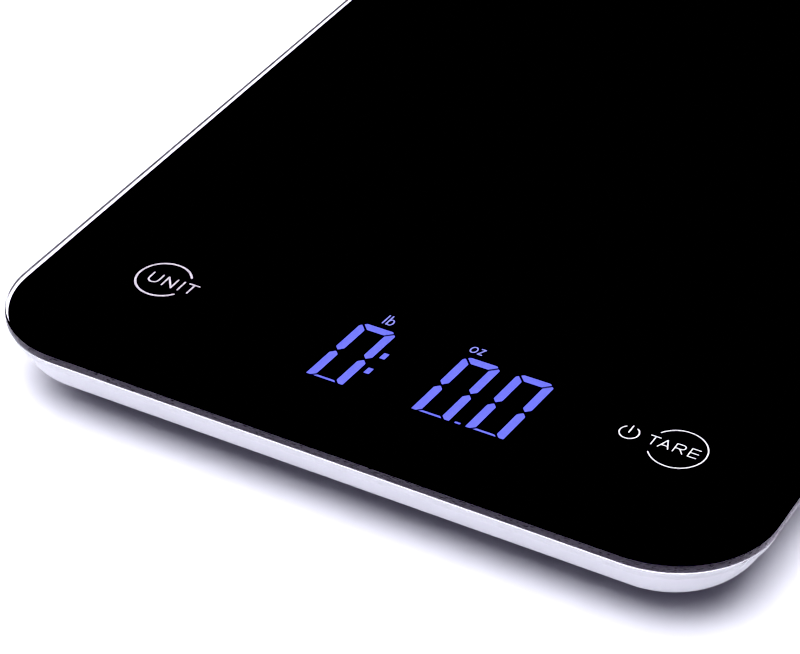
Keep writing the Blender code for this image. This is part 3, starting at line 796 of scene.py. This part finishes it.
# ---------------------------------------------------------------- readout
def segment_outlines():
    """The seven segments of a digit, as outlines about its centre."""
    w, h, s = DIGIT_W / 2, DIGIT_H / 2, SEGMENT_W
    gap = SEGMENT_GAP / 2
    slip = gap * math.sqrt(2)
    chamfer = SEGMENT_CHAMFER
    top = [
        (-w + chamfer + slip, h),
        (w - chamfer - slip, h),
        (w - chamfer / 2 - slip, h - chamfer / 2),
        (w - s - slip, h - s),
        (-w + s + slip, h - s),
        (-w + chamfer / 2 + slip, h - chamfer / 2),
    ]
    upper_left = [
        (-w, h - chamfer - slip),
        (-w, s / 2 + gap),
        (-w + s / 2, gap),
        (-w + s, s / 2 + gap),
        (-w + s, h - s - slip),
        (-w + chamfer / 2, h - chamfer / 2 - slip),
    ]

    def mirrored(outline, x_side, y_side):
        flipped = [(x * x_side, y * y_side) for x, y in outline]
        return flipped if x_side * y_side > 0 else flipped[::-1]

    middle = [
        (-w + s / 2 + slip, 0),
        (-w + s + slip, -s / 2),
        (w - s - slip, -s / 2),
        (w - s / 2 - slip, 0),
        (w - s - slip, s / 2),
        (-w + s + slip, s / 2),
    ]
    return {
        "a": mirrored(top, 1, 1)[::-1],
        "b": mirrored(upper_left, -1, 1),
        "c": mirrored(upper_left, -1, -1),
        "d": mirrored(top, 1, -1),
        "e": mirrored(upper_left, 1, -1),
        "f": mirrored(upper_left, 1, 1),
        "g": middle,
    }


def softened(outline, radius=0.12, steps=3):
    """The outline with its corners rounded."""
    made = []
    count = len(outline)
    for index in range(count):
        corner = Vector(outline[index])
        before = Vector(outline[index - 1]) - corner
        after = Vector(outline[(index + 1) % count]) - corner
        reach = min(radius, before.length / 2.2, after.length / 2.2)
        start = corner + before.normalized() * reach
        end = corner + after.normalized() * reach
        made += turn_points(start, corner, end, steps)
    return made


def slanted(outline, x0, y0=DIGIT_Y):
    """The outline leaned to the right about the middle of the readout."""
    return [(x0 + x + (y + y0 - DIGIT_Y) * SLANT, y0 + y) for x, y in outline]


def lit(shape, outline):
    prism(shape, outline, LIT_BOTTOM, LIT_TOP)


def make_readout():
    """The lit figures: a zero, the colon, and 0.0 at the right."""
    parts = segment_outlines()
    for name, slot_number in (("digit_pounds", -1), ("digit_ounces", 1), ("digit_tenths", 2)):
        shape = bmesh.new()
        for segment in "abcdef":
            middle = DIGIT_X + slot_number * DIGIT_PITCH
            lit(shape, slanted(softened(parts[segment]), middle))
        show(name, finished_mesh(name, shape, "segments"), ROOT)
    dot = softened(rectangle(-DOT_HALF_X, -DOT_HALF_Y, DOT_HALF_X, DOT_HALF_Y), 0.1)
    colon = bmesh.new()
    for height in (2.9, -3.03):
        lit(colon, slanted(dot, DIGIT_X - DIGIT_PITCH / 2, DIGIT_Y + height))
    show("colon", finished_mesh("colon", colon, "segments"), ROOT)
    point = bmesh.new()
    point_y = DIGIT_Y - DIGIT_H / 2 + DOT_HALF_Y - 0.1
    lit(point, slanted(dot, DIGIT_X + 1.5 * DIGIT_PITCH, point_y))
    show("decimal_point", finished_mesh("decimal_point", point, "segments"), ROOT)
    pounds = word([("l", 0, 0), ("b", 0.8, 1.25)], (-12.3, MARK_Y), MARK_H, SLANT)
    ounces = word([("o", 0, 1.42), ("z", 2.03, 0.96)], (8.25, MARK_Y), MARK_H, SLANT)
    for name, strokes in (("unit_mark_left", pounds), ("unit_mark_right", ounces)):
        drawn(name, strokes, MARK_PEN, LIT_BOTTOM, LIT_TOP, "unit_marks")


# ---------------------------------------------------------------- tray
def tray_sections():
    """(inset, height) from the underside, up the slanted side and down inside the rim."""
    turn_in = SIDE_RUN + SIDE_RUN * (SIDE_END - UNDER_Z) / (RIM_Z - SIDE_END)
    sections = [(UNDER_INSET + 1.0, UNDER_Z)]
    steps = 12
    for step in range(steps + 1):
        t = step / steps
        inset = (1 - t) ** 2 * UNDER_INSET + 2 * t * (1 - t) * turn_in + t**2 * SIDE_RUN
        height = (1 - t) ** 2 * UNDER_Z + 2 * t * (1 - t) * UNDER_Z + t**2 * SIDE_END
        sections.append((inset, height))
    lip = 0.12
    share = lip / (RIM_Z - SIDE_END)
    sections += [(RIM_TUCK + SIDE_RUN * share, RIM_Z - lip)]
    sections += [(RIM_TUCK + lip * 0.45, RIM_Z - lip * 0.3), (RIM_TUCK + lip, RIM_Z)]
    sections += [(RIM_W, RIM_Z), (RIM_W, LEDGE_Z), (LEDGE_W, LEDGE_Z)]
    sections += [(LEDGE_W, LEDGE_Z - 1.5), (4.6, LEDGE_Z - 2.4)]
    sections += [INNER_KNEE, (FLOOR_INSET, TRAY_FLOOR)]
    return sections


def screw_places():
    """(x, y, top of boss) of each screw."""
    for name in frame["nodes"]:
        if "_screw" in name:
            low, high = node_box(name)
            x, y = (low.x + high.x) / 2, (low.y + high.y) / 2
            yield x, y, (CELL_BOSS_TOP if name.startswith("cell") else BOARD_BOSS_TOP)


def make_tray():
    base = bmesh.new()
    loft(base, [[(x, y, z) for x, y in glass_outline(inset)] for inset, z in tray_sections()])
    additions = [new_box(BAY_LOW, BAY_HIGH)]
    cuts = []
    for x, y, top in screw_places():
        boss = [
            (0, top),
            (BOSS_R - 0.2, top),
            (BOSS_R, top - 0.2),
            (BOSS_R, BOSS_BOTTOM),
            (0, BOSS_BOTTOM),
        ]
        additions.append(new_turned((x, y), boss, 28))
        hole = [
            (0, top + 1),
            (BOSS_HOLE_R, top + 1),
            (BOSS_HOLE_R, BOSS_HOLE_BOTTOM),
            (0, BOSS_HOLE_BOTTOM),
        ]
        cuts.append(new_turned((x, y), hole, 20))
    for side_x, side_y in CORNERS.values():
        chamfer = 0.5
        hole = [
            (0, TRAY_FLOOR + 1),
            (FOOT_HOLE_R, TRAY_FLOOR + 1),
            (FOOT_HOLE_R, UNDER_Z + chamfer),
            (FOOT_HOLE_R + chamfer, UNDER_Z),
            (FOOT_HOLE_R + chamfer, UNDER_Z - 1),
            (0, UNDER_Z - 1),
        ]
        cuts.append(new_turned((side_x * FOOT_X, side_y * FOOT_Y), hole, 96))
    opening_low = (-OPENING_HALF_X, OPENING_FRONT, UNDER_Z - 1)
    cuts.append(new_box(opening_low, (OPENING_HALF_X, OPENING_BACK, OPENING_TOP)))
    pocket = [
        (0, POCKET_TOP),
        (POCKET_R, POCKET_TOP),
        (POCKET_R, TRAY_FLOOR - 0.5),
        (0, TRAY_FLOOR - 0.5),
    ]
    cuts.append(new_turned((0, COIN_Y), pocket, 96))
    # room for the latch, and the slots of the negative and positive contacts
    cuts.append(new_box((-5.0, OPENING_FRONT, 5.0), (5.0, -3.3, 8.0)))
    cuts.append(new_box((-2.6, COIN_Y - 5.5, 10.0), (2.6, COIN_Y + 4.5, SLOT_TOP)))
    cuts.append(new_box((9.5, COIN_Y - 3, TRAY_FLOOR), (11.1, COIN_Y + 3, SLOT_TOP)))
    recess = rounded_rectangle(30.4, 15.4, 2.4, 8, LABEL_MIDDLE)
    cuts.append(new_prism(recess, UNDER_Z - 1, LABEL_RECESS_TOP))
    mesh = carved("tray", base, additions, cuts, "white_shell", 28)
    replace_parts(show("tray", mesh, ROOT), "body_shell")


# ---------------------------------------------------------------- underside
def make_label():
    """A blank foil plate with a printed border."""
    corner_r = 2.0
    half_x, half_y = LABEL_HIGH.x, (LABEL_HIGH.y - LABEL_LOW.y) / 2
    plate = bmesh.new()
    outline = rounded_rectangle(half_x, half_y, corner_r, 8, LABEL_MIDDLE)
    prism(plate, outline, LABEL_LOW.z + 0.04, LABEL_HIGH.z)
    made = show("label_plate", finished_mesh("label_plate", plate, "label"), ROOT)
    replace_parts(made, "rating_label")
    border = bmesh.new()
    edges = [
        rounded_rectangle(half_x - inset, half_y - inset, corner_r - inset * 0.7, 8, LABEL_MIDDLE)
        for inset in (1.4, 1.75)
    ]
    slab(border, edges, LABEL_LOW.z, LABEL_LOW.z + 0.035)
    show("label_border", finished_mesh("label_border", border, "label_ink"), ROOT)


def make_feet():
    """The four plungers that press on the load cells, each with its grooved rubber pad."""
    outer, wall = 9.0, 1.2
    flange_r, flange_top, flange_bottom = 11.0, 7.3, 6.3
    pad_r, pad_top = 7.5, 1.7
    groove_half, groove_floor_half, groove_depth = 0.35, 0.2, 0.35
    for name, (side_x, side_y) in CORNERS.items():
        centre = (side_x * FOOT_X, side_y * FOOT_Y)
        body = f"foot_{name}"
        cup_low, cup_high = node_box(f"foot_cup_{name}")
        cup_profile = rounded_profile(
            [
                (0, cup_high.z),
                (2.3, cup_high.z - 0.15),
                (3.0, cup_high.z - 1.1),
                (3.1, flange_top),
                (flange_r, flange_top),
                (flange_r, flange_bottom),
                (outer, flange_bottom),
                (outer, cup_low.z),
                (outer - wall, cup_low.z),
                (outer - wall, 2.0),
                (0, 2.0),
            ],
            0.35,
        )
        cup = bmesh.new()
        turned(cup, centre, cup_profile, 96)
        mesh = finished_mesh("foot_body", cup, "foot_plastic")
        made = show(f"foot_body_{name}", mesh, body)
        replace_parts(made, f"foot_cup_{name}")
        tread = [(0, pad_top), (pad_r, pad_top), (pad_r, 0.0)]
        for groove in (6.1, 4.5, 2.9):
            tread += [
                (groove + groove_half, 0.0),
                (groove + groove_floor_half, groove_depth),
                (groove - groove_floor_half, groove_depth),
                (groove - groove_half, 0.0),
            ]
        tread.append((0, 0.0))
        pad = bmesh.new()
        turned(pad, centre, rounded_profile(tread, 0.18, 3), 96)
        mesh = finished_mesh("foot_rubber", pad, "foot_rubber")
        made = show(f"foot_rubber_{name}", mesh, body)
        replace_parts(made, f"foot_pad_{name}")


def make_door():
    """The battery door: a plate with two hooks, a sprung latch and a nail groove."""
    front = DOOR_LOW.y
    half = DOOR_HIGH.x
    base = bmesh.new()
    middle = (0, (front + DOOR_PLATE_BACK) / 2)
    long = (DOOR_PLATE_BACK - front) / 2
    sections = (
        (DOOR_EDGE, UNDER_Z),
        (DOOR_EDGE * 0.3, UNDER_Z + DOOR_EDGE * 0.3),
        (0, UNDER_Z + DOOR_EDGE),
        (0, DOOR_PLATE_TOP),
    )
    rings = []
    for inset, height in sections:
        outline = rounded_rectangle(half - inset, long - inset, 1.0 - inset, 6, middle)
        rings.append([(x, y, height) for x, y in outline])
    loft(base, rings)
    additions, cuts = [], []
    for side in (-1, 1):
        near, far = side * HOOK_X - HOOK_HALF_X, side * HOOK_X + HOOK_HALF_X
        additions.append(new_box((near, 23.0, 5.4), (far, 25.0, HOOK_TOP)))
        additions.append(new_box((near, 24.0, 6.3), (far, DOOR_HIGH.y, HOOK_TOP)))
        low, high = sorted((side * 4.6, side * 5.6))  # the slots that free the latch
        cuts.append(new_box((low, front - 1, CUT_BOTTOM), (high, front + 6.5, 7.0)))
    additions.append(new_box((-LATCH_HALF_X, front + 0.6, 5.4), (LATCH_HALF_X, front + 1.8, 7.2)))
    additions.append(new_box((-LATCH_HALF_X, front, 6.4), (LATCH_HALF_X, front + 1.2, 7.0)))
    groove = stroke([(-2.5, front + 3.5), (2.5, front + 3.5)], 1.8, 12)
    cuts.append(new_prism(groove, CUT_BOTTOM, 4.8))
    for row in range(3):  # grip lines beside the groove
        y = front + 8.5 + 1.6 * row
        grip = stroke([(-4.5 + row, y), (4.5 - row, y)], 0.7, 8)
        cuts.append(new_prism(grip, CUT_BOTTOM, UNDER_Z + 0.3))
    mesh = carved("door", base, additions, cuts, "door_plastic", 28)
    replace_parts(show("door", mesh, "battery_door"), "battery_door")


def make_coin_cell():
    """The cell: a can with a crimped edge round the negative cap."""
    radius = (COIN_HIGH.x - COIN_LOW.x) / 2
    low, high = COIN_LOW.z, COIN_HIGH.z
    profile = rounded_profile(
        [
            (0, high),
            (radius - 1.6, high),
            (radius - 1.7, high - 0.3),
            (radius - 1.2, high - 0.35),
            (radius - 0.9, high - 0.2),
            (radius, high - 0.5),
            (radius, low),
            (radius - 1.5, low),
            (radius - 1.8, low + 0.06),
            (0, low + 0.06),
        ],
        0.3,
    )
    shape = bmesh.new()
    turned(shape, (0, COIN_Y), profile, 96)
    mesh = finished_mesh("button_cell", shape, "bright_steel")
    made = show("button_cell", mesh, ROOT)
    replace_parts(made, "coin_cell")


# ---------------------------------------------------------------- carried-over pieces
NODE_FINISH = {
    "glass_tape": "foam_tape",
    "main_pcb": "circuit_board",
    "controller_chip": "epoxy",
    "crystal": "bright_steel",
    "lcd_glass": "readout",
    "backlight_panel": "light_guide",
    "zebra_strip": "elastomer",
    "lcd_frame": "white_shell",
    "battery_lead_positive": "lead_red",
    "battery_lead_negative": "lead_black",
}
PREFIX_FINISH = {
    "touch_spring": "bright_steel",
    "battery_contact": "bright_steel",
    "load_cell": "stamped_steel",
    "strain_gauge": "silicone",
    "cell_screw": "bright_steel",
    "pcb_screw": "bright_steel",
    "cell_lead": "lead_white",
}


def finish_nodes():
    """Gives each CAD piece that still shows its detailed material."""
    for name, node in frame["nodes"].items():
        if node.hide_render:
            continue
        kinds = [PREFIX_FINISH[start] for start in PREFIX_FINISH if name.startswith(start)]
        surface = FINISH[NODE_FINISH.get(name) or kinds[0]]
        for slot in node.material_slots:
            slot.material = surface
        if not node.material_slots:
            node.data.materials.append(surface)


# ---------------------------------------------------------------- floor and light
def make_floor():
    shape = bmesh.new()
    half = 3000.0
    corners = rectangle(-half, -half, half, half)
    shape.faces.new([shape.verts.new(mm(x, y, 0)) for x, y in corners])
    mesh = bpy.data.meshes.new("floor")
    shape.to_mesh(mesh)
    shape.free()
    mesh.materials.append(floor_paper())
    floor = bpy.data.objects.new("floor", mesh)
    bpy.context.scene.collection.objects.link(floor)


def soft_light(name, location, target, size, power, mirrored=True, colour=(1, 1, 1)):
    """A rectangular softbox aimed at a point. Lengths in metres, power in watts."""
    data = bpy.data.lights.new(name, "AREA")
    data.shape = "RECTANGLE"
    data.size, data.size_y = size
    data.energy = power
    data.color = colour
    light = bpy.data.objects.new(name, data)
    light.location = location
    aim = Vector(target) - Vector(location)
    light.rotation_euler = aim.to_track_quat("-Z", "Y").to_euler()
    light.visible_glossy = mirrored
    bpy.context.scene.collection.objects.link(light)


def make_light():
    """One wide softbox overhead, kept out of the glass's reflection, and a faint fill."""
    cool = (0.95, 0.945, 1.0)
    soft_light("overhead", (-0.15, 0, 1.0), (0, 0, 0), (1.7, 1.7), 31, mirrored=False, colour=cool)
    soft_light("front_top", (0.2, -0.45, 1.0), (0, 0, 0), (0.7, 0.4), 2.4, colour=cool)
    world = bpy.data.worlds.new("studio")
    world.use_nodes = True
    sky = world.node_tree.nodes["Background"]
    sky.inputs["Color"].default_value = (0.8, 0.75, 0.9, 1.0)
    sky.inputs["Strength"].default_value = 0.02
    bpy.context.scene.world = world


def grade():
    """The contrast of a product photograph."""
    settings = bpy.context.scene.view_settings
    settings.view_transform = "Standard"
    settings.gamma = 0.76
    settings.use_curve_mapping = True
    settings.curve_mapping.black_level = (0.046, 0.051, 0.041)


make_glass()
make_print()
make_legends()
make_readout()
make_tray()
make_label()
make_feet()
make_door()
make_coin_cell()
finish_nodes()
make_floor()
make_light()
grade()
